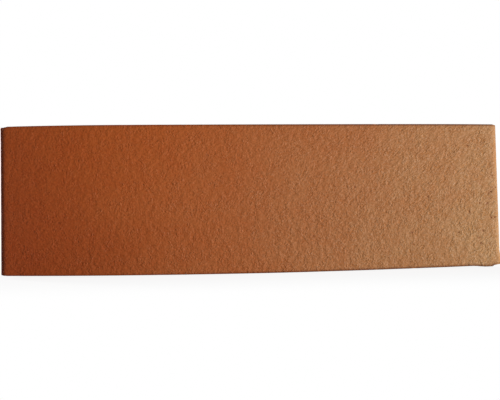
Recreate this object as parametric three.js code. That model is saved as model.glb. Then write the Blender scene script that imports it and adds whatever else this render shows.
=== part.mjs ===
// Solid clay facing brick of the normal format, lying on its lower bed face.
//
// The brick is one fired piece. The die of the extruder shapes a column of clay whose section is
// the brick's plan, so the stretchers and headers are smooth and the four upright corners are
// rounded. A wire then slices the column into bricks: both bed faces are flat cuts, and the edge
// round each of them is only blunted a little as the clay is handled and fired.
//
// Millimetres. +X runs along the brick, +Y from the front stretcher to the back one, and +Z up.
// The origin is the middle of the lower bed face.

import * as THREE from "three";

// Driving dimensions
const LENGTH = 240; // header to header
const WIDTH = 115; // stretcher to stretcher
const HEIGHT = 71; // bed face to bed face
const CORNER_RADIUS = 2; // upright corners, as the mouth of the die leaves them
const CUT_EDGE_RADIUS = 0.6; // edge round each bed face, where the wire leaves the clay

// Facets of the curved stretches
const CORNER_FACETS = 8; // along the quarter circle of an upright corner, an even number
const CUT_EDGE_FACETS = 4; // along the quarter circle of a cut edge

// Fired clay: matt, and a little darker than it looks in full light
const CLAY_COLOUR = 0x9c5b33;
const CLAY_ROUGHNESS = 0.88;

// Section of the clay column: a rectangle with rounded corners, anticlockwise from the +X side.
function columnSection() {
  const cornerX = LENGTH / 2 - CORNER_RADIUS;
  const cornerY = WIDTH / 2 - CORNER_RADIUS;
  const quarter = Math.PI / 2;
  const section = new THREE.Shape();
  section.absarc(cornerX, cornerY, CORNER_RADIUS, 0, quarter);
  section.absarc(-cornerX, cornerY, CORNER_RADIUS, quarter, 2 * quarter);
  section.absarc(-cornerX, -cornerY, CORNER_RADIUS, 2 * quarter, 3 * quarter);
  section.absarc(cornerX, -cornerY, CORNER_RADIUS, 3 * quarter, 4 * quarter);
  section.closePath();
  return section;
}

// One slice of the column. The bevel is the blunted cut edge: it turns inwards from the section,
// so the stretchers and headers keep the full length and width.
function brickGeometry() {
  return new THREE.ExtrudeGeometry(columnSection(), {
    depth: HEIGHT - 2 * CUT_EDGE_RADIUS,
    curveSegments: CORNER_FACETS / 2, // an arc is given two facets for each of these
    bevelEnabled: true,
    bevelThickness: CUT_EDGE_RADIUS,
    bevelSize: CUT_EDGE_RADIUS,
    bevelOffset: -CUT_EDGE_RADIUS,
    bevelSegments: CUT_EDGE_FACETS,
  });
}

function firedClay() {
  return new THREE.MeshStandardMaterial({
    color: CLAY_COLOUR,
    roughness: CLAY_ROUGHNESS,
    metalness: 0,
  });
}

const brick = new THREE.Mesh(brickGeometry(), firedClay());
brick.name = "brick";
brick.position.z = CUT_EDGE_RADIUS; // the lower bevel reaches down to the ground plane

const clayBrick = new THREE.Group();
clayBrick.add(brick);

export default clayBrick;
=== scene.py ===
# Looks of a solid clay facing brick: the leathery skin that the die left on its stretchers and
# headers, the bed faces that the cutting wire combed, a slight bow and a lip from drying and
# cutting, worn arrises with small knocks and painted shade along them, open pores, and a colour
# that goes from deep orange at one end to sandy tan at the other, partly the clay's own and
# partly painted shade and sheen of the key lamp.
#
# Metres, in the frame of the solid: +X along the brick, -Y to the front, +Z up.

import math
import random

import bmesh
import bpy
from mathutils import Euler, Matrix, Vector, kdtree, noise


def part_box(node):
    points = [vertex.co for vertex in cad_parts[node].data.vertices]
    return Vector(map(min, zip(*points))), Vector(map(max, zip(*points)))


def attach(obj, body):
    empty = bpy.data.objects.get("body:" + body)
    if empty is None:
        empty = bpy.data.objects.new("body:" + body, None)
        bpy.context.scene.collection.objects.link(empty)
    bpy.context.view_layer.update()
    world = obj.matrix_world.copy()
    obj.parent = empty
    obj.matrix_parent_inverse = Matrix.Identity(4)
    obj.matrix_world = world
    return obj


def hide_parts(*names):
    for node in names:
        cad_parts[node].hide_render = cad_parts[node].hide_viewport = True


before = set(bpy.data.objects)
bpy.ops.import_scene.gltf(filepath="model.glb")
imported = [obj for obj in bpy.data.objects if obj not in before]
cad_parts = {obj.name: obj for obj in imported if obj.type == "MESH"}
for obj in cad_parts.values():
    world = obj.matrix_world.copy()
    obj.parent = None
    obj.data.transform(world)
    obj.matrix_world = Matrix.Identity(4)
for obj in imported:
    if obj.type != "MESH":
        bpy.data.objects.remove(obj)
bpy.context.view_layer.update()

MM = 0.001

# The block
LOW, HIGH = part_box("brick")
MIDDLE, SPANS = (LOW + HIGH) / 2, HIGH - LOW
LENGTH, WIDTH, HEIGHT = SPANS
CORNER_RADIUS = 3.4 * MM  # upright corners, rounded by the die and softer still once fired
CUT_EDGE_RADIUS = 0.6 * MM  # rims of the bed faces, where the wire left the clay

# Lines of the mesh
SPACINGS = (1.4 * MM, 1.5 * MM, 1.2 * MM)  # between lines along X, Y and Z, away from the rims
CUT_EDGE_STEPS = 3  # lines across half the rounding of a cut edge
CORNER_STEPS = 6  # further lines across half the rounding of an upright corner

# Where the mesh is cut finer, out from the middle of a dent, which is a pore, a scar or a knock
DENT_CUTS = 2  # extra cuts of each mesh edge
PORE_REACH, PORE_MARGIN = 2.2, 0.8 * MM  # as a multiple of its radius, and how much further
KNOCK_REACH = 0.6  # as a share of its width
SINK_REACH = 2  # its points sink up to this many times as far out

# Slots of the mesh's materials
SKIN, CUT, BROKEN = range(3)

# Relief that the mesh carries, as depths into the clay. Lumps of noise have a size and a seed.
SWELL_DEPTH, SWELL_LUMPS = 0.14 * MM, (70 * MM, 1.9)  # faces are never quite flat after firing
PEEL_DEPTH, PEEL_LUMPS = 0.05 * MM, (3.6 * MM, 3.1)  # coarsest lumps of the leathery skin
COMB_DEPTH = 0.12 * MM  # grooves that the wire dragged along X
COMB_LUMPS = ((40 * MM, 2.6 * MM, 2.6 * MM), 11.7)
RIPPLE_DEPTH, RIPPLE_PITCH = 0.1 * MM, 11 * MM  # ripples where it stuck and slipped
RIPPLE_BOW = 8 * MM  # how far they bow from the middle to the long arrises
RIPPLE_STRAY, STRAY_LUMPS = 25 * MM, (60 * MM, 2.6)  # how far they stray from even steps
RIPPLE_SHOWS, RIPPLE_PATCHES = (0.35, 0.7), (45 * MM, 6.1)  # patches where they fade in
TORN_DEPTH, TORN_SHOWS = 0.4 * MM, (0.6, 0.8)  # where the wire tore crumbs out
TORN_LUMPS = ((9 * MM, 4 * MM, 4 * MM), 5.3)
RIM_PRESS = 4 * MM  # next to the long arrises the wire pressed all that flat
BED_NORMAL = (0.6, 0.95)  # upright part of the normal where the skin gives way to the wire's cut
WEAR_DEPTH, WEAR_LUMPS = 0.3 * MM, (9 * MM, 8.2)  # rubbing along the arrises
DIAGONAL = 1 - math.sqrt(0.5)  # how far a normal at 45 degrees is from the nearest axis

# Slight bends of the whole form. Some grow with a power of the distance from its middle.
UPPER_DROOP = {-1: 0.85 * MM, 1: 0.4 * MM}  # of the upper bed at the left and right header
LOWER_LIFT = 1.5 * MM  # of the lower bed at both
DROOP_POWER, LIFT_POWER = 4, 2
HEADER_LEAN, LEAN_POWER = 0.6 * MM, 2  # how far the top of the right header leans in
FOOT_SPREAD, FOOT_RISE = 0.7 * MM, (2 * MM, 8 * MM)  # its foot stands out, and where that fades
FOOT_CURL, FOOT_RUN = 0.3 * MM, 5 * MM  # the foot curls up over this length
LIP_DROP, LIP_RISE = 0.6 * MM, 4 * MM  # before it the lower rim sags, and how high that reaches
LIP_NEAR, LIP_FAR = (4.6 * MM, 5.4 * MM), (8 * MM, 16 * MM)  # where that fades, from the header

# Painted shade along arrises that turn away from the light
RIM_PAINTED_SHADE, RIM_SHADE_SPAN = (0.25, 0.85), (-1.0, 0.5)  # painted shade on the rims of the bed faces, darker along the brick
RIM_FADE = (0.5 * MM, 1.4 * MM)  # how far in from the edge they fade
CORNER_FADE = (0.9 * MM, 2.6 * MM)  # the same for the painted shade on the upright corners of the left header

# Open pores of the front face: the plainest ones, along X and up Z in millimetres, and a crowd
# of others that thins out away from the lower end of the right header
PLAIN_PORES = [(75, 12), (83, 35), (98, 17), (104, 27), (104, 60), (115, 24), (115, 37), (116, 45),
               (115, 50), (117, 10)]
CROWD_PORES = 13
CROWD_INSET, CROWD_REACH = 1.5 * MM, 18 * MM  # least from the arrises, and most from the header
FRONT_RADII, FRONT_STRETCHES = (0.28 * MM, 0.36 * MM), (1.0, 2.2)  # length over breadth
FRONT_SEED = 6

# Further pores on all sides
STRAY_PORES, STRAY_RADII = 60, (0.3 * MM, 0.55 * MM)
STRAY_INSET = 3 * MM  # least from the arrises
PORE_STEEPNESS = 0.85  # depth of any pore as a share of its radius

# Knocks by the corners, in millimetres: nearest corner as signs, inset from it along X, width
# and depth
KNOCKS = [
    ((-1, -1, 1), 0.0, 11.0, 2.2),
    ((-1, -1, -1), 2.8, 3.4, 0.5),
    ((1, -1, 1), 0.0, 7.5, 1.7),
    ((1, -1, -1), 2.2, 4.4, 1.0),
]
KNOCK_SLANT = Vector((0.4, 0.5, 1.0))  # the way they face
KNOCK_ROUGHNESS, KNOCK_LUMPS = 0.05, (1.3 * MM, 4.4)  # uneven bowls, as a share of their radius
BREAK_DEPTH = 0.15 * MM  # a point that a knock moved this far is wholly broken
BROKEN_FINISH = 0.5  # a face with all its points more broken than this changes finish

# Small knocks anywhere along the arrises
STRAY_KNOCKS, STRAY_WIDTHS = 34, (1.6, 4.2)  # widths in millimetres
STRAY_DEPTHS = (0.13, 0.2)  # as shares of their widths
STRAY_RUN = 0.48  # how far from the middle of an arris they go, as a share of its length

# Scars where the wire dragged grains of grit along, on both bed faces together
DRAG_SCARS, SCAR_SPREAD = 26, 0.9  # and how much of a bed face they reach
SCAR_TURN = 12  # most degrees off the X axis
SCAR_RADII, SCAR_STRETCHES = (0.4, 0.7), (3.0, 8.0)  # radii in millimetres
SCAR_SHADE = 0.35  # how dark they are beside a pore

SEED = 7  # of the further pores, small knocks and scars


def srgb(red, green, blue):
    """A colour given as it looks on screen, 0 to 255, in the linear values that shaders take."""
    def linear(level):
        share = level / 255
        return share / 12.92 if share <= 0.04045 else ((share + 0.055) / 1.055) ** 2.4
    return (linear(red), linear(green), linear(blue), 1.0)


# Colours of the fired clay
# Deep to sandy along the brick: partly the clay's own, partly painted shade and key-lamp sheen
DEEP_CLAY_AND_SHADE = srgb(125, 54, 19)
WARM_CLAY = srgb(148, 72, 26)
SANDY_CLAY_AND_SHEEN = srgb(153, 120, 81)
WARM_SPAN, WARM_SLANT = (-1.19, -0.2), 0.33  # along the brick from -1 to 1, and with the height
SANDY_SPAN, SANDY_SLANT = (-0.84, 1.81), -0.4
DRIFT_SCALE, DRIFT = 22.0, 0.4  # clouds in a metre that make these colours wander, and how far
DEEPER_TINT = (0.985, 0.955, 0.925, 1.0)  # what a deeper patch does to the colour of the clay
PALER_TINT = (1.015, 1.045, 1.075, 1.0)  # what a paler patch does
CREST_TINT_AND_HIGHLIGHT = (1.02, 1.07, 1.16, 1.0)  # what the crests of the grain do: paler clay and painted highlight
HOLLOW_TINT_AND_SHADE = (0.97, 0.86, 0.7, 1.0)  # what its hollows do: redder clay and painted shade
PAINTED_SHADE_TINT = (0.5, 0.42, 0.48, 1.0)  # what painted shade does to an arris
SHADED_RIM_ROUGHNESS = 1.0
PORE_SHADE = srgb(100, 44, 14)
CLAY_SPECULAR = 0.12
MOTTLE = {  # lumps in a metre, and how much they sway the colour
    "Clouds": (50, 0.5),
    "Patches": (110, 0.65),
    "Flecks": (220, 0.45),
}
MOTTLE_STRENGTH = (0.8, 2.8)  # at the deep end and at the sandy end
SPECK_SCALE, SPECKS = 1100, 0.1  # the same of fine specks
NOISE_SPAN = (0.25, 0.75)  # where most of a noise's values lie

# Grain of the clay
GRAIN_TURN = (0.61, 0.35, 1.05)  # turns the noise so that no face lies along its lattice
GRAIN_LEAN, LEAN_SPAN = 0.5, (-0.6, 1.2)  # lean of the grain, and where it grows along the brick
LEAN_FOOT = 0.4  # share of the lean at the lower bed. At the upper one it is twice that.
SANDY_GROWTH = 0.33  # how much higher the grain of the sandy end is
WAVES, WAVE_SIZE = 1.25, 2.8  # height of wider swells, and their size, in those of the grain
PATCHINESS, PATCH_SIZE = 0.4, 6.0  # contrast of calm and rough patches, and their size
PATCH_SPAN = (0.3, 0.7)  # the noise between calm and rough
HOLLOW_LEVEL = 0.22  # how far from the middle level hollows and crests have all their tint
PINHOLE_STEEPNESS = 0.6  # depth of a pinhole as a share of its radius
PINHOLE_RIM = (1.0, 0.4)  # where a pinhole starts and is fully dark, as shares of its radius
COMB_SCALES = (90.0, 1200.0, 1200.0)  # fine grooves of the wire in a metre

# Finishes of the clay, in the order of the mesh's slots, and what is their own: inputs of the
# grain and of the pores, and the depth of the wire's fine grooves
FINISHES = {
    "die-formed clay": {
        "grain": {"Size": 0.83 * MM, "Height": 0.355 * MM, "Fineness": 0.6,
                  "Crest roughness": 0.4, "Hollow roughness": 0.7},
        "pores": {"Spacing": 4 * MM, "Radius": 0.2 * MM},
    },
    "wire-cut clay": {
        "grain": {"Size": 0.9 * MM, "Height": 0.3 * MM, "Fineness": 0.6,
                  "Crest roughness": 0.75, "Hollow roughness": 0.9},
        "pores": {"Spacing": 3 * MM, "Radius": 0.3 * MM},
        "comb": 0.3 * MM,
    },
    "broken clay": {
        "grain": {"Size": 0.7 * MM, "Height": 0.3 * MM, "Fineness": 0.7,
                  "Crest roughness": 0.85, "Hollow roughness": 0.95},
        "pores": {"Spacing": 2 * MM, "Radius": 0.2 * MM},
    },
}

# Light. At level 1 a face square on to a lamp renders as it is written.
WHITE = (1.0, 1.0, 1.0, 1.0)
AMBIENT_LEVEL = 0.2
LAMPS = {  # place, width and height, and level
    "key": ((0.95, -0.72, 0.045), (0.3, 0.08), 1.365),
    "left": ((-1.0, 0.7, 0.45), (0.3, 0.3), 0.9),
    "back": ((0.3, 0.85, 0.85), (0.5, 0.5), 0.65),
}

# Floor: distances from the brick
FLOOR_REACH = 4.0
GLOW_NEAR, GLOW_FADE = 0.9, (0.0, 0.1)  # how white it seems beside the brick, and how that grows
PAINT_LEVEL, PAINT_FADE = 0.85, (0.3, 0.9)  # light it sends back, and where that stops

# Camera
CAMERA_PLACE = Vector((-35.7, -385.1, 25.65)) * MM
CAMERA_TURN = (91.6, 0.915, -5.43)  # degrees about X, Y and Z
CAMERA_LENS = 50.0  # millimetres
CAMERA_NEAR = 10 * MM


# ---------------------------------------------------------------- form


def grid_lines(length, spacing):
    """Mesh lines along one side of the block: close together at both rims, even between them."""
    corner_step = (CORNER_RADIUS - CUT_EDGE_RADIUS) / CORNER_STEPS
    rim = [CUT_EDGE_RADIUS * i / CUT_EDGE_STEPS for i in range(CUT_EDGE_STEPS)]
    rim += [CUT_EDGE_RADIUS + corner_step * i for i in range(CORNER_STEPS + 1)]
    inner = length - 2 * CORNER_RADIUS
    count = round(inner / spacing)
    middle = [CORNER_RADIUS + inner * i / count for i in range(1, count)]
    return rim + middle + [length - place for place in reversed(rim)]


def on_arc(a, b):
    """Moves a point of a square on to the quarter disc of the same reach."""
    reach, away = max(a, b), math.hypot(a, b)
    return (a * reach / away, b * reach / away) if away else (a, b)


def rounded(flat):
    """Where a point of the plain block lies once its corners and cut edges are rounded."""
    straight_x, straight_y = LENGTH / 2 - CORNER_RADIUS, WIDTH / 2 - CORNER_RADIUS
    side_x, side_y = math.copysign(1, flat.x), math.copysign(1, flat.y)
    x, y = abs(flat.x), abs(flat.y)
    if x > straight_x and y > straight_y:
        past_x, past_y = on_arc(x - straight_x, y - straight_y)
        x, y = straight_x + past_x, straight_y + past_y
        outward = Vector((past_x, past_y)).normalized()
        inset = CORNER_RADIUS - math.hypot(past_x, past_y)
    elif LENGTH / 2 - x < WIDTH / 2 - y:
        outward, inset = Vector((1, 0)), LENGTH / 2 - x
    else:
        outward, inset = Vector((0, 1)), WIDTH / 2 - y
    lower = flat.z < MIDDLE.z
    height = flat.z - LOW.z if lower else HIGH.z - flat.z
    if inset < CUT_EDGE_RADIUS and height < CUT_EDGE_RADIUS:
        past_out, past_up = on_arc(CUT_EDGE_RADIUS - inset, CUT_EDGE_RADIUS - height)
        x += outward.x * (inset - CUT_EDGE_RADIUS + past_out)
        y += outward.y * (inset - CUT_EDGE_RADIUS + past_out)
        height = CUT_EDGE_RADIUS - past_up
    return Vector((side_x * x, side_y * y, LOW.z + height if lower else HIGH.z - height))


def block_mesh():
    """The brick's form as one closed shell of quads."""
    lines = [grid_lines(span, spacing) for span, spacing in zip(SPANS, SPACINGS)]
    last = [len(line) - 1 for line in lines]
    block = bmesh.new()
    verts = {}

    def vert(*index):
        """The vertex where three lines of the mesh cross."""
        if index not in verts:
            flat = LOW + Vector([line[i] for line, i in zip(lines, index)])
            verts[index] = block.verts.new(rounded(flat))
        return verts[index]

    def quad(axis, end, i, j):
        """One quad of a side, its corners in order round the axis."""
        corners = []
        for a, b in ((i, j), (i + 1, j), (i + 1, j + 1), (i, j + 1)):
            index = [end, a, b]
            corners.append(vert(*(index[-axis:] + index[:-axis])))
        return corners if end else corners[::-1]

    for axis in range(3):
        for end in (0, last[axis]):
            for i in range(last[(axis + 1) % 3]):
                for j in range(last[(axis + 2) % 3]):
                    face = block.faces.new(quad(axis, end, i, j))
                    face.material_index = CUT if axis == 2 else SKIN
                    face.smooth = True
    block.normal_update()
    return block


# ---------------------------------------------------------------- relief


def lumps(point, size, seed):
    """Smooth noise from 0 to 1 with lumps of about that size. Size may differ along X, Y and Z."""
    sizes = size if isinstance(size, tuple) else (size, size, size)
    at = Vector([place / span + seed for place, span in zip(point, sizes)])
    return 0.5 + 0.5 * noise.noise(at)


def ramp(value, start, end):
    """0 before start, 1 after end, and a smooth rise between."""
    share = min(max((value - start) / (end - start), 0.0), 1.0)
    return share * share * (3 - 2 * share)


def skin_depth(point):
    """Relief of a face that slid along the die."""
    return PEEL_DEPTH * lumps(point, *PEEL_LUMPS)


def foot(point):
    """How far a point lies in the lip that the wire dragged out as it left by the right header."""
    out = ramp(point.x, LENGTH / 2 - FOOT_RUN, LENGTH / 2)
    return out * (1 - ramp(point.z - LOW.z, *FOOT_RISE))


def lip(point):
    """How far a point lies in the lip of clay that sags from the lower rim before the foot."""
    inset = LENGTH / 2 - point.x
    return ((1 - ramp(point.z - LOW.z, 0.0, LIP_RISE)) * ramp(inset, *LIP_NEAR)
            * (1 - ramp(inset, *LIP_FAR)))


def warp(point):
    """Where a point of the true form goes as the brick dries and is fired."""
    along = 2 * point.x / LENGTH
    up = (point.z - LOW.z) / HEIGHT
    droop = UPPER_DROOP[1 if along > 0 else -1] * along ** DROOP_POWER
    lift = LOWER_LIFT * along ** LIFT_POWER * (1 - up) - droop * up
    lift += FOOT_CURL * foot(point) - LIP_DROP * lip(point)
    draw = HEADER_LEAN * up + FOOT_SPREAD * ramp(point.z - LOW.z, *FOOT_RISE)
    draw *= max(along, 0.0) ** LEAN_POWER
    return Vector((point.x - draw, point.y, point.z + lift))


def painted_rim_shade(point):
    """Painted shade on the true form, from 0 to 1, along the rims and the left header's corners."""
    end, side = LENGTH / 2 - abs(point.x), WIDTH / 2 - abs(point.y)
    bed = min(point.z - LOW.z, HIGH.z - point.z)
    rim = (1 - ramp(bed, *RIM_FADE)) * (1 - ramp(min(end, side), *RIM_FADE))
    least, most = RIM_PAINTED_SHADE
    growth = ramp(2 * point.x / LENGTH, *RIM_SHADE_SPAN)
    rim *= (least + (most - least) * growth) * (1 - foot(point))
    corner = (1 - ramp(end, *CORNER_FADE)) * (1 - ramp(side, *CORNER_FADE))
    return max(rim, corner * ramp(-point.x, 0.0, LENGTH / 2))


def cut_depth(point):
    """Relief of a bed face: combed along X by the wire, rippled where it stuck, and torn."""
    comb = COMB_DEPTH * lumps(point, *COMB_LUMPS)
    bow = RIPPLE_BOW * (2 * point.y / WIDTH) ** 2 + RIPPLE_STRAY * lumps(point, *STRAY_LUMPS)
    ripple = 0.5 + 0.5 * math.sin(math.tau * (point.x + bow) / RIPPLE_PITCH)
    ripple *= RIPPLE_DEPTH * ramp(lumps(point, *RIPPLE_PATCHES), *RIPPLE_SHOWS)
    torn = TORN_DEPTH * ramp(lumps(point, *TORN_LUMPS), *TORN_SHOWS)
    pressed = ramp(WIDTH / 2 - abs(point.y), 0.0, RIM_PRESS)
    return (comb + ripple + torn) * pressed


def add_relief(block):
    """Sinks every point of the shell into the clay, so that nothing stands proud of the form."""
    painted_shade = block.verts.layers.float.new("painted_shade")
    for vert in block.verts:
        # how much painted shade this point of the arrises gets
        vert[painted_shade] = painted_rim_shade(vert.co)
        steepest = max(abs(part) for part in vert.normal)
        bed = ramp(abs(vert.normal.z), *BED_NORMAL)
        depth = SWELL_DEPTH * lumps(vert.co, *SWELL_LUMPS)
        depth += bed * cut_depth(vert.co) + (1 - bed) * skin_depth(vert.co)
        rubbed = lumps(vert.co, *WEAR_LUMPS) ** 2  # squared, so that most of it stays crisp
        depth += WEAR_DEPTH * rubbed * (1 - steepest) / DIAGONAL
        vert.co = warp(vert.co) - depth * vert.normal


# ---------------------------------------------------------------- pores and knocks


class Pore:
    """An open pore: a pit with its mouth at a point of a face, maybe drawn out along one line."""

    def __init__(self, mouth, outward, radius, stretch=1.0, along=None, shade=1.0):
        self.mouth = mouth
        self.outward = outward
        self.radius = radius
        self.stretch = stretch
        self.along = along or outward.orthogonal()
        self.shade = shade
        self.reach = (PORE_REACH * radius + PORE_MARGIN) * stretch

    def away(self, point):
        """How far a point of the face lies from the mouth, with the stretch taken out."""
        offset = point - self.mouth
        offset -= self.outward * offset.dot(self.outward)
        along = offset.dot(self.along)
        return (offset + self.along * (along / self.stretch - along)).length

    def holds(self, point):
        """Whether the mesh is cut finer at a point within reach."""
        return self.away(point) * self.stretch < self.reach

    def sink(self, point):
        """Where a point near the mouth goes, and how deep in shade it then lies, from 0 to 1."""
        depth = math.exp(-((self.away(point) / self.radius) ** 2))
        sunk = point - self.outward * (PORE_STEEPNESS * self.radius * depth)
        return sunk, self.shade * depth


class Knock:
    """A chip out of an arris, with the shallow bowl of a ball that sits outside the brick."""

    def __init__(self, place, outward, width, depth):
        self.ball = (width * width / 4 + depth * depth) / (2 * depth)  # its radius
        self.centre = place + outward.normalized() * (self.ball - depth)
        self.mouth = place
        self.reach = KNOCK_REACH * width

    def holds(self, point):
        """Whether the mesh is cut finer at a point within reach."""
        return True

    def sink(self, point):
        """Where a point goes when the chip breaks off, and how much it moved, from 0 to 1."""
        away = point - self.centre
        rough = 1 + KNOCK_ROUGHNESS * (2 * lumps(point, *KNOCK_LUMPS) - 1)
        wanted = self.ball * rough
        if away.length >= wanted:
            return point, 0.0
        moved = wanted - away.length
        return self.centre + away * (wanted / away.length), ramp(moved, 0.0, BREAK_DEPTH)


def front_pores(chance):
    """The pores of the front face that can be told one by one."""
    spots = [(x * MM, z * MM) for x, z in PLAIN_PORES]
    for _ in range(CROWD_PORES):
        inset = chance.triangular(CROWD_INSET, CROWD_REACH, CROWD_INSET)
        height = chance.triangular(CROWD_INSET, HEIGHT - CROWD_INSET, CROWD_INSET)
        spots.append((LENGTH / 2 - inset, LOW.z + height))
    found = []
    for x, z in spots:
        turn = chance.uniform(0, math.pi)
        along = Vector((math.cos(turn), 0, math.sin(turn)))
        radius, stretch = chance.uniform(*FRONT_RADII), chance.uniform(*FRONT_STRETCHES)
        found.append(Pore(Vector((x, LOW.y, z)), Vector((0, -1, 0)), radius, stretch, along))
    return found


def stray_pores(chance):
    """Pores scattered over all six faces, as many on each as its area asks for."""
    areas = [SPANS[(axis + 1) % 3] * SPANS[(axis + 2) % 3] for axis in range(3)]
    found = []
    for _ in range(STRAY_PORES):
        axis = chance.choices(range(3), areas)[0]
        side = chance.choice((-1, 1))
        mouth = LOW + Vector([chance.uniform(STRAY_INSET, span - STRAY_INSET) for span in SPANS])
        mouth[axis] = HIGH[axis] if side > 0 else LOW[axis]
        outward = Vector([side if i == axis else 0 for i in range(3)])
        found.append(Pore(mouth, outward, chance.uniform(*STRAY_RADII)))
    return found


def arris_place(signs):
    """The place of the box's edge that lies that way: a corner, or the middle of an arris."""
    return MIDDLE + Vector([sign * span / 2 for sign, span in zip(signs, SPANS)])


def knock_at(corner, inset, width, depth):
    """A knock on the cut edge of a long face, a little way in from one corner of the brick."""
    signs = Vector(corner)
    place = arris_place(signs)
    place.x -= signs.x * inset
    return Knock(place, signs * KNOCK_SLANT, width, depth)


def stray_knocks(chance):
    """Small knocks anywhere along the twelve arrises."""
    found = []
    for _ in range(STRAY_KNOCKS):
        run = chance.choices(range(3), SPANS)[0]
        signs = Vector([chance.choice((-1, 1)) for _ in range(3)])
        signs[run] = 0
        place = arris_place(signs)
        place[run] += chance.uniform(-STRAY_RUN, STRAY_RUN) * SPANS[run]
        width = chance.uniform(*STRAY_WIDTHS) * MM
        found.append(Knock(place, signs, width, width * chance.uniform(*STRAY_DEPTHS)))
    return found


def drag_scars(chance):
    """Grooves in the bed faces, where the wire dragged grains of grit along."""
    found = []
    for _ in range(DRAG_SCARS):
        side = chance.choice((-1, 1))
        mouth = Vector([chance.uniform(low, high) * SCAR_SPREAD for low, high in zip(LOW, HIGH)])
        mouth.z = HIGH.z if side > 0 else LOW.z
        turn = math.radians(chance.uniform(-SCAR_TURN, SCAR_TURN))
        along = Vector((math.cos(turn), math.sin(turn), 0))
        radius = chance.uniform(*SCAR_RADII) * MM
        stretch = chance.uniform(*SCAR_STRETCHES)
        found.append(Pore(mouth, Vector((0, 0, side)), radius, stretch, along, SCAR_SHADE))
    return found


def point_tree(block):
    """The points of the mesh in a tree that finds the near ones fast."""
    block.verts.ensure_lookup_table()
    block.verts.index_update()
    tree = kdtree.KDTree(len(block.verts))
    for vert in block.verts:
        tree.insert(vert.co, vert.index)
    tree.balance()
    return tree


def refine(block, dents):
    """Cuts the mesh finer round each dent, and closes the faces beside the cuts as fans."""
    tree = point_tree(block)
    near = set()
    for dent in dents:
        found = tree.find_range(dent.mouth, dent.reach)
        near.update(block.verts[index] for place, index, _ in found if dent.holds(place))
    edges = [edge for edge in block.edges if all(vert in near for vert in edge.verts)]
    bmesh.ops.subdivide_edges(block, edges=edges, cuts=DENT_CUTS, use_grid_fill=True)
    bmesh.ops.poke(block, faces=[face for face in block.faces if len(face.verts) > 4])


def add_dents(block, dents):
    """Sinks the points near each dent, and stores how far in shade or how broken they are."""
    hollow = block.verts.layers.float.new("hollow")
    broken = block.verts.layers.float.new("broken")
    tree = point_tree(block)
    for dent in dents:
        layer = broken if isinstance(dent, Knock) else hollow
        for _, index, _ in tree.find_range(dent.mouth, SINK_REACH * dent.reach):
            vert = block.verts[index]
            vert.co, shade = dent.sink(vert.co.copy())
            vert[layer] = max(vert[layer], shade)
    for face in block.faces:
        if min(vert[broken] for vert in face.verts) > BROKEN_FINISH:
            face.material_index = BROKEN


# ---------------------------------------------------------------- brick


def scene_object(name, data):
    """A new object in the scene."""
    made = bpy.data.objects.new(name, data)
    bpy.context.scene.collection.objects.link(made)
    return made


def mesh_object(name, shell, materials):
    """A new object with that shell as its mesh."""
    mesh = bpy.data.meshes.new(name)
    shell.to_mesh(mesh)
    shell.free()
    for material in materials:
        mesh.materials.append(material)
    return scene_object(name, mesh)


def make_brick(materials):
    """The whole brick, as one piece that stands for the solid."""
    chance = random.Random(SEED)
    dents = front_pores(random.Random(FRONT_SEED)) + stray_pores(chance)
    dents += [knock_at(corner, inset * MM, width * MM, depth * MM)
              for corner, inset, width, depth in KNOCKS]
    dents += stray_knocks(chance)
    dents += drag_scars(chance)
    block = block_mesh()
    refine(block, dents)
    block.normal_update()
    add_dents(block, dents)
    add_relief(block)
    brick = mesh_object("clay_brick", block, materials)
    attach(brick, "root")
    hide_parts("brick")


# ---------------------------------------------------------------- shader helpers


FLOAT, COLOUR = "NodeSocketFloat", "NodeSocketColor"
MIX_SHARE, MIX_FIRST, MIX_SECOND, MIX_RESULT = 0, 6, 7, 2  # sockets of a Mix node on colours


def empty_tree(owner):
    """The node tree of a new material or world, with nothing in it."""
    owner.use_nodes = True
    owner.node_tree.nodes.clear()
    return owner.node_tree


def add(tree, kind, inputs=None, **settings):
    """Adds a node, sets its options, and sets each named input or links it to a socket."""
    made = tree.nodes.new("ShaderNode" + kind)
    for name, value in settings.items():
        setattr(made, name, value)
    for name, value in (inputs or {}).items():
        if isinstance(value, bpy.types.NodeSocket):
            tree.links.new(value, made.inputs[name])
        else:
            made.inputs[name].default_value = value
    return made


def maths(tree, operation, *values):
    """A Math node on sockets or numbers; gives its output."""
    return add(tree, "Math", dict(enumerate(values)), operation=operation).outputs[0]


def blend_colour(tree, share, first, second, mode="MIX"):
    """A Mix node on colours; gives its output."""
    inputs = {MIX_SHARE: share, MIX_FIRST: first, MIX_SECOND: second}
    return add(tree, "Mix", inputs, data_type="RGBA", blend_type=mode).outputs[MIX_RESULT]


def rise(tree, value, start, end, low=0.0, high=1.0):
    """A smooth rise from low to high while the value goes from start to end."""
    inputs = {"Value": value, "From Min": start, "From Max": end, "To Min": low, "To Max": high}
    return add(tree, "MapRange", inputs, interpolation_type="SMOOTHSTEP").outputs["Result"]


def new_group(name, takes, gives):
    """A shader node group with named sockets; gives the group and the sockets inside it."""
    group = bpy.data.node_groups.new(name, "ShaderNodeTree")
    for socket_name, kind, value in takes:
        socket = group.interface.new_socket(socket_name, in_out="INPUT", socket_type=kind)
        socket.default_value = value
    for socket_name, kind in gives:
        group.interface.new_socket(socket_name, in_out="OUTPUT", socket_type=kind)
    inputs, outputs = group.nodes.new("NodeGroupInput"), group.nodes.new("NodeGroupOutput")
    return group, inputs.outputs, outputs.inputs


def own_inputs(effect):
    """The inputs of an effect that each finish sets, with those of the die-formed skin."""
    return [(name, FLOAT, value) for name, value in FINISHES["die-formed clay"][effect].items()]


# ---------------------------------------------------------------- effects shared by the clays


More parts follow.
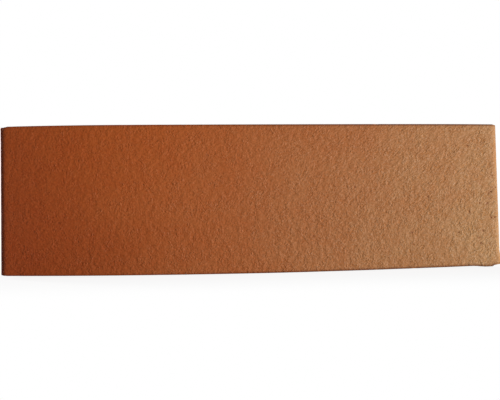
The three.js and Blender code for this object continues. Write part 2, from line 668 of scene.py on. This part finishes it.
def clay_colour_and_light_group():
    """Colour along the brick, deep to sandy: the clay's own, partly painted shade and sheen."""
    group, takes, gives = new_group(
        "clay colour and painted light",
        [("Deep", COLOUR, DEEP_CLAY_AND_SHADE), ("Warm", COLOUR, WARM_CLAY), ("Sandy", COLOUR, SANDY_CLAY_AND_SHEEN),
         ("Half length", FLOAT, LENGTH / 2), ("Drift", FLOAT, DRIFT)],
        [("Colour", COLOUR), ("Sandiness", FLOAT)])
    coords = add(group, "TexCoord").outputs["Object"]
    split = add(group, "SeparateXYZ", {"Vector": coords})
    level = maths(group, "SUBTRACT", split.outputs["Z"], MIDDLE.z)
    level = maths(group, "DIVIDE", level, takes["Half length"])
    place = maths(group, "DIVIDE", split.outputs["X"], takes["Half length"])
    cloud = add(group, "TexNoise", {"Vector": coords, "Scale": DRIFT_SCALE, "Detail": 2.0})
    drift = maths(group, "SUBTRACT", cloud.outputs["Fac"], 0.5)
    place = maths(group, "MULTIPLY_ADD", drift, takes["Drift"], place)
    warm_place = maths(group, "MULTIPLY_ADD", level, WARM_SLANT, place)
    warmth = rise(group, warm_place, *WARM_SPAN)
    sandy_place = maths(group, "MULTIPLY_ADD", level, SANDY_SLANT, place)
    sandiness = rise(group, sandy_place, *SANDY_SPAN)
    # paler towards the key lamp: partly the clay's own colour, partly painted shade and sheen
    colour = blend_colour(group, warmth, takes["Deep"], takes["Warm"])
    colour = blend_colour(group, sandiness, colour, takes["Sandy"])
    group.links.new(colour, gives["Colour"])
    group.links.new(sandiness, gives["Sandiness"])
    return group


def mottle_group():
    """Deeper and paler clouds, patches and flecks in the colour of the clay, and fine specks."""
    group, takes, gives = new_group(
        "clay mottle",
        [("Colour", COLOUR, WARM_CLAY), ("Deeper", COLOUR, DEEPER_TINT),
         ("Paler", COLOUR, PALER_TINT), ("Sandiness", FLOAT, 0.5),
         ("Deep strength", FLOAT, MOTTLE_STRENGTH[0]),
         ("Sandy strength", FLOAT, MOTTLE_STRENGTH[1]), ("Specks", FLOAT, SPECKS)]
        + [(name, FLOAT, share) for name, (_, share) in MOTTLE.items()],
        [("Colour", COLOUR)])
    coords = add(group, "TexCoord").outputs["Object"]
    sway = 0.0
    for name, (scale, _) in MOTTLE.items():
        cloud = add(group, "TexNoise", {"Vector": coords, "Scale": scale, "Detail": 1.0})
        swing = rise(group, cloud.outputs["Fac"], *NOISE_SPAN, -0.5, 0.5)
        sway = maths(group, "MULTIPLY_ADD", swing, takes[name], sway)
    strength = rise(
        group, takes["Sandiness"], 0.0, 1.0, takes["Deep strength"], takes["Sandy strength"])
    share = maths(group, "MULTIPLY_ADD", sway, strength, 0.5)
    tint = blend_colour(group, share, takes["Deeper"], takes["Paler"])
    colour = blend_colour(group, 1.0, takes["Colour"], tint, "MULTIPLY")
    speck = add(group, "TexNoise", {"Vector": coords, "Scale": SPECK_SCALE, "Detail": 2.0})
    level = rise(group, speck.outputs["Fac"], *NOISE_SPAN, -1.0, 1.0)
    level = maths(group, "MULTIPLY_ADD", level, takes["Specks"], 1.0)
    scale = add(group, "CombineColor", {"Red": level, "Green": level, "Blue": level})
    colour = blend_colour(group, 1.0, colour, scale.outputs["Color"], "MULTIPLY")
    group.links.new(colour, gives["Colour"])
    return group


def grain_group():
    """Leathery grain: its height in metres, and the colour and roughness of crests and hollows."""
    group, takes, gives = new_group(
        "clay grain",
        [("Colour", COLOUR, WARM_CLAY), ("Crest tint and highlight", COLOUR, CREST_TINT_AND_HIGHLIGHT),
         ("Hollow tint and shade", COLOUR, HOLLOW_TINT_AND_SHADE), ("Patchiness", FLOAT, PATCHINESS),
         ("Waves", FLOAT, WAVES), ("Sandiness", FLOAT, 0.5), ("Sandy growth", FLOAT, SANDY_GROWTH),
         ("Lean", FLOAT, GRAIN_LEAN), ("Half length", FLOAT, LENGTH / 2)] + own_inputs("grain"),
        [("Colour", COLOUR), ("Roughness", FLOAT), ("Height", FLOAT)])
    coords = add(group, "TexCoord").outputs["Object"]
    split = add(group, "SeparateXYZ", {"Vector": coords})
    place = maths(group, "DIVIDE", split.outputs["X"], takes["Half length"])
    lean = rise(group, place, *LEAN_SPAN, 0.0, takes["Lean"])
    more = maths(group, "MULTIPLY_ADD", split.outputs["Z"], LEAN_FOOT / HEIGHT, LEAN_FOOT)
    shift = maths(group, "MULTIPLY", maths(group, "MULTIPLY", lean, split.outputs["Z"]), more)
    shift = add(group, "CombineXYZ", {"X": shift}).outputs["Vector"]
    coords = add(group, "VectorMath", {0: coords, 1: shift}, operation="SUBTRACT").outputs["Vector"]
    turned = add(group, "Mapping", {"Vector": coords, "Rotation": GRAIN_TURN}).outputs["Vector"]
    scale = maths(group, "DIVIDE", 1.0, takes["Size"])
    lump = add(group, "TexNoise", {
        "Vector": turned, "Scale": scale, "Detail": 2.0, "Roughness": takes["Fineness"]})
    wave = add(group, "TexNoise", {
        "Vector": turned, "Scale": maths(group, "DIVIDE", scale, WAVE_SIZE), "Detail": 1.0})
    patch = add(group, "TexNoise", {
        "Vector": turned, "Scale": maths(group, "DIVIDE", scale, PATCH_SIZE), "Detail": 1.0})
    contrast = rise(group, patch.outputs["Fac"], *PATCH_SPAN, -1.0, 1.0)
    contrast = maths(group, "MULTIPLY_ADD", contrast, takes["Patchiness"], 1.0)
    level = maths(group, "SUBTRACT", lump.outputs["Fac"], 0.5)
    level = maths(group, "MULTIPLY", level, contrast)
    height = maths(group, "MULTIPLY_ADD", wave.outputs["Fac"], takes["Waves"], level)
    growth = maths(group, "MULTIPLY_ADD", takes["Sandiness"], takes["Sandy growth"], 1.0)
    height = maths(group, "MULTIPLY", height, maths(group, "MULTIPLY", takes["Height"], growth))
    hollow = rise(group, level, HOLLOW_LEVEL, -HOLLOW_LEVEL)
    # crests paler and hollows darker: partly the clay's own, partly painted highlight and shade
    tint = blend_colour(group, hollow, takes["Crest tint and highlight"], takes["Hollow tint and shade"])
    colour = blend_colour(group, 1.0, takes["Colour"], tint, "MULTIPLY")
    roughness = rise(
        group, hollow, 0.0, 1.0, takes["Crest roughness"], takes["Hollow roughness"])
    group.links.new(colour, gives["Colour"])
    group.links.new(roughness, gives["Roughness"])
    group.links.new(height, gives["Height"])
    return group


def painted_rim_shade_group():
    """Colour and roughness of the arrises under painted shade, but not where they broke later."""
    group, takes, gives = new_group(
        "painted rim shade",
        [("Colour", COLOUR, WARM_CLAY), ("Roughness", FLOAT, 0.5), ("Burnt", FLOAT, 0.0),
         ("Broken", FLOAT, 0.0), ("Burnt tint", COLOUR, PAINTED_SHADE_TINT),
         ("Burnt roughness", FLOAT, SHADED_RIM_ROUGHNESS)],
        [("Colour", COLOUR), ("Roughness", FLOAT)])
    whole = maths(group, "SUBTRACT", 1.0, takes["Broken"])
    painted_shade = maths(group, "MULTIPLY", takes["Burnt"], whole)
    # painted shade darkens the rims of the bed faces and the left header's corners
    colour = blend_colour(group, painted_shade, takes["Colour"], takes["Burnt tint"], "MULTIPLY")
    roughness = rise(group, painted_shade, 0.0, 1.0, takes["Roughness"], takes["Burnt roughness"])
    group.links.new(colour, gives["Colour"])
    group.links.new(roughness, gives["Roughness"])
    return group


def pore_group():
    """Shade in the pores of the mesh and in pinholes finer than it, and how deep the latter are."""
    group, takes, gives = new_group(
        "clay pores",
        [("Colour", COLOUR, WARM_CLAY), ("Pore", FLOAT, 0.0), ("Shade", COLOUR, PORE_SHADE),
         ("Steepness", FLOAT, PINHOLE_STEEPNESS)] + own_inputs("pores"),
        [("Colour", COLOUR), ("Depth", FLOAT)])
    coords = add(group, "TexCoord").outputs["Object"]
    scale = maths(group, "DIVIDE", 1.0, takes["Spacing"])
    cell = add(group, "TexVoronoi", {"Vector": coords, "Scale": scale})
    away = maths(group, "MULTIPLY", cell.outputs["Distance"], takes["Spacing"])
    away = maths(group, "DIVIDE", away, takes["Radius"])
    mouth = rise(group, away, *PINHOLE_RIM)
    deepest = maths(group, "MULTIPLY", takes["Radius"], takes["Steepness"])
    dark = maths(group, "MAXIMUM", mouth, takes["Pore"])
    colour = blend_colour(group, dark, takes["Colour"], takes["Shade"])
    group.links.new(colour, gives["Colour"])
    group.links.new(maths(group, "MULTIPLY", mouth, deepest), gives["Depth"])
    return group


# ---------------------------------------------------------------- materials


def stored(tree, name):
    """A value that the mesh stores at its points."""
    return add(tree, "Attribute", attribute_name=name).outputs["Fac"]


def comb_height(tree, depth):
    """Fine grooves that the cutting wire dragged along X."""
    coords = add(tree, "TexCoord").outputs["Object"]
    stretched = add(tree, "Mapping", {"Vector": coords, "Scale": COMB_SCALES})
    lines = add(tree, "TexNoise", {"Vector": stretched.outputs["Vector"], "Scale": 1.0})
    return maths(tree, "MULTIPLY", lines.outputs["Fac"], depth)


def clay_material(name, groups, grain, pores, comb=0.0):
    """One finish of the fired clay, made from the shared effects with values of its own."""
    material = bpy.data.materials.new(name)
    tree = empty_tree(material)

    def effect(key, **inputs):
        """Places one of the shared effects; gives its outputs."""
        return add(tree, "Group", inputs, node_tree=groups[key]).outputs

    # colour along the brick, partly painted shade and sheen of the key lamp
    colour_and_light = effect("colour_and_light")
    mottle = effect("mottle", Colour=colour_and_light["Colour"], Sandiness=colour_and_light["Sandiness"])
    leather = effect("grain", Colour=mottle["Colour"], Sandiness=colour_and_light["Sandiness"], **grain)
    # painted shade along the arrises, and their roughness
    painted_shade = effect("painted_rim_shade", Colour=leather["Colour"], Roughness=leather["Roughness"],
                   Burnt=stored(tree, "painted_shade"), Broken=stored(tree, "broken"))
    holes = effect("pores", Colour=painted_shade["Colour"], Pore=stored(tree, "hollow"), **pores)

    relief = maths(tree, "SUBTRACT", leather["Height"], holes["Depth"])
    if comb:
        relief = maths(tree, "ADD", relief, comb_height(tree, comb))
    bump = add(tree, "Bump", {"Height": relief, "Strength": 1.0, "Distance": 1.0})
    shader = add(tree, "BsdfPrincipled", {
        "Base Color": holes["Colour"], "Roughness": painted_shade["Roughness"],
        "Normal": bump.outputs["Normal"], "Specular IOR Level": CLAY_SPECULAR})
    add(tree, "OutputMaterial", {"Surface": shader.outputs["BSDF"]})
    return material


def clay_materials():
    """The finishes of the clay, in the order of the mesh's slots."""
    groups = {
        "colour_and_light": clay_colour_and_light_group(),
        "mottle": mottle_group(),
        "grain": grain_group(),
        "painted_rim_shade": painted_rim_shade_group(),
        "pores": pore_group(),
    }
    return [clay_material(name, groups, **finish) for name, finish in FINISHES.items()]


# ---------------------------------------------------------------- stage


def backdrop_rays(tree):
    """1 for the rays that should see a white surround: the camera's, mirrored and clear ones."""
    path = add(tree, "LightPath")
    seen = maths(tree, "MAXIMUM", path.outputs["Is Camera Ray"], path.outputs["Is Glossy Ray"])
    return maths(tree, "MAXIMUM", seen, path.outputs["Is Transmission Ray"])


def make_floor():
    """A pale floor that keeps the brick's shadow and melts into white further out."""
    plane = bmesh.new()
    corners = [plane.verts.new((x * FLOOR_REACH, y * FLOOR_REACH, LOW.z))
               for x, y in ((-1, -1), (1, -1), (1, 1), (-1, 1))]
    plane.faces.new(corners)
    floor = mesh_object("floor", plane, [floor_material()])


def floor_material():
    """White as far as the camera can tell, but for the brick's shadow."""
    material = bpy.data.materials.new("white floor")
    tree = empty_tree(material)
    coords = add(tree, "TexCoord").outputs["Object"]
    level = add(tree, "VectorMath", {0: coords}, operation="ABSOLUTE").outputs["Vector"]
    reach = add(tree, "VectorMath", {0: level, 1: (LENGTH / 2, WIDTH / 2, 0)}, operation="SUBTRACT")
    past = add(tree, "VectorMath", {0: reach.outputs["Vector"], 1: (0, 0, 0)}, operation="MAXIMUM")
    away = add(tree, "VectorMath", {0: past.outputs["Vector"]}, operation="LENGTH").outputs["Value"]
    glow_share = rise(tree, away, *GLOW_FADE, GLOW_NEAR, 1.0)
    glow_share = maths(tree, "MULTIPLY", glow_share, backdrop_rays(tree))
    paint = add(tree, "BsdfDiffuse", {"Color": rise(tree, away, *PAINT_FADE, PAINT_LEVEL, 0.0)})
    glow = add(tree, "Emission", {"Color": WHITE, "Strength": 1.0})
    mix = add(tree, "MixShader", {
        0: glow_share, 1: paint.outputs["BSDF"], 2: glow.outputs["Emission"]})
    add(tree, "OutputMaterial", {"Surface": mix.outputs["Shader"]})
    return material


def make_world():
    """Even light from all round, with a white surround behind it."""
    world = bpy.data.worlds.new("studio")
    tree = empty_tree(world)
    strength = rise(tree, backdrop_rays(tree), 0.0, 1.0, AMBIENT_LEVEL, 1.0)
    background = add(tree, "Background", {"Color": WHITE, "Strength": strength})
    add(tree, "OutputWorld", {"Surface": background.outputs["Background"]})
    bpy.context.scene.world = world


def area_lamp(name, place, span, level):
    """A soft lamp of that width and height, turned to the brick, which it lights to that level."""
    data = bpy.data.lights.new(name, "AREA")
    data.shape = "RECTANGLE"
    data.size, data.size_y = span
    lamp = scene_object(name, data)
    lamp.location = place
    towards = MIDDLE - Vector(place)
    data.energy = level * (math.pi * towards.length) ** 2  # at level 1, pi watts a square metre
    lamp.rotation_euler = towards.to_track_quat("-Z", "Y").to_euler()


def make_lamps():
    """A key from the right that rakes the front face, and two lamps above and behind."""
    for name, (place, span, level) in LAMPS.items():
        area_lamp(name, place, span, level)


def make_camera():
    """The camera, close before the front face and a little to the left of its middle."""
    data = bpy.data.cameras.new("camera")
    data.lens = CAMERA_LENS
    data.clip_start = CAMERA_NEAR
    camera = scene_object("camera", data)
    camera.location = CAMERA_PLACE
    camera.rotation_euler = Euler([math.radians(turn) for turn in CAMERA_TURN])
    bpy.context.scene.camera = camera


make_camera()
make_brick(clay_materials())
make_floor()
make_world()
make_lamps()
bpy.context.scene.view_settings.view_transform = "Standard"
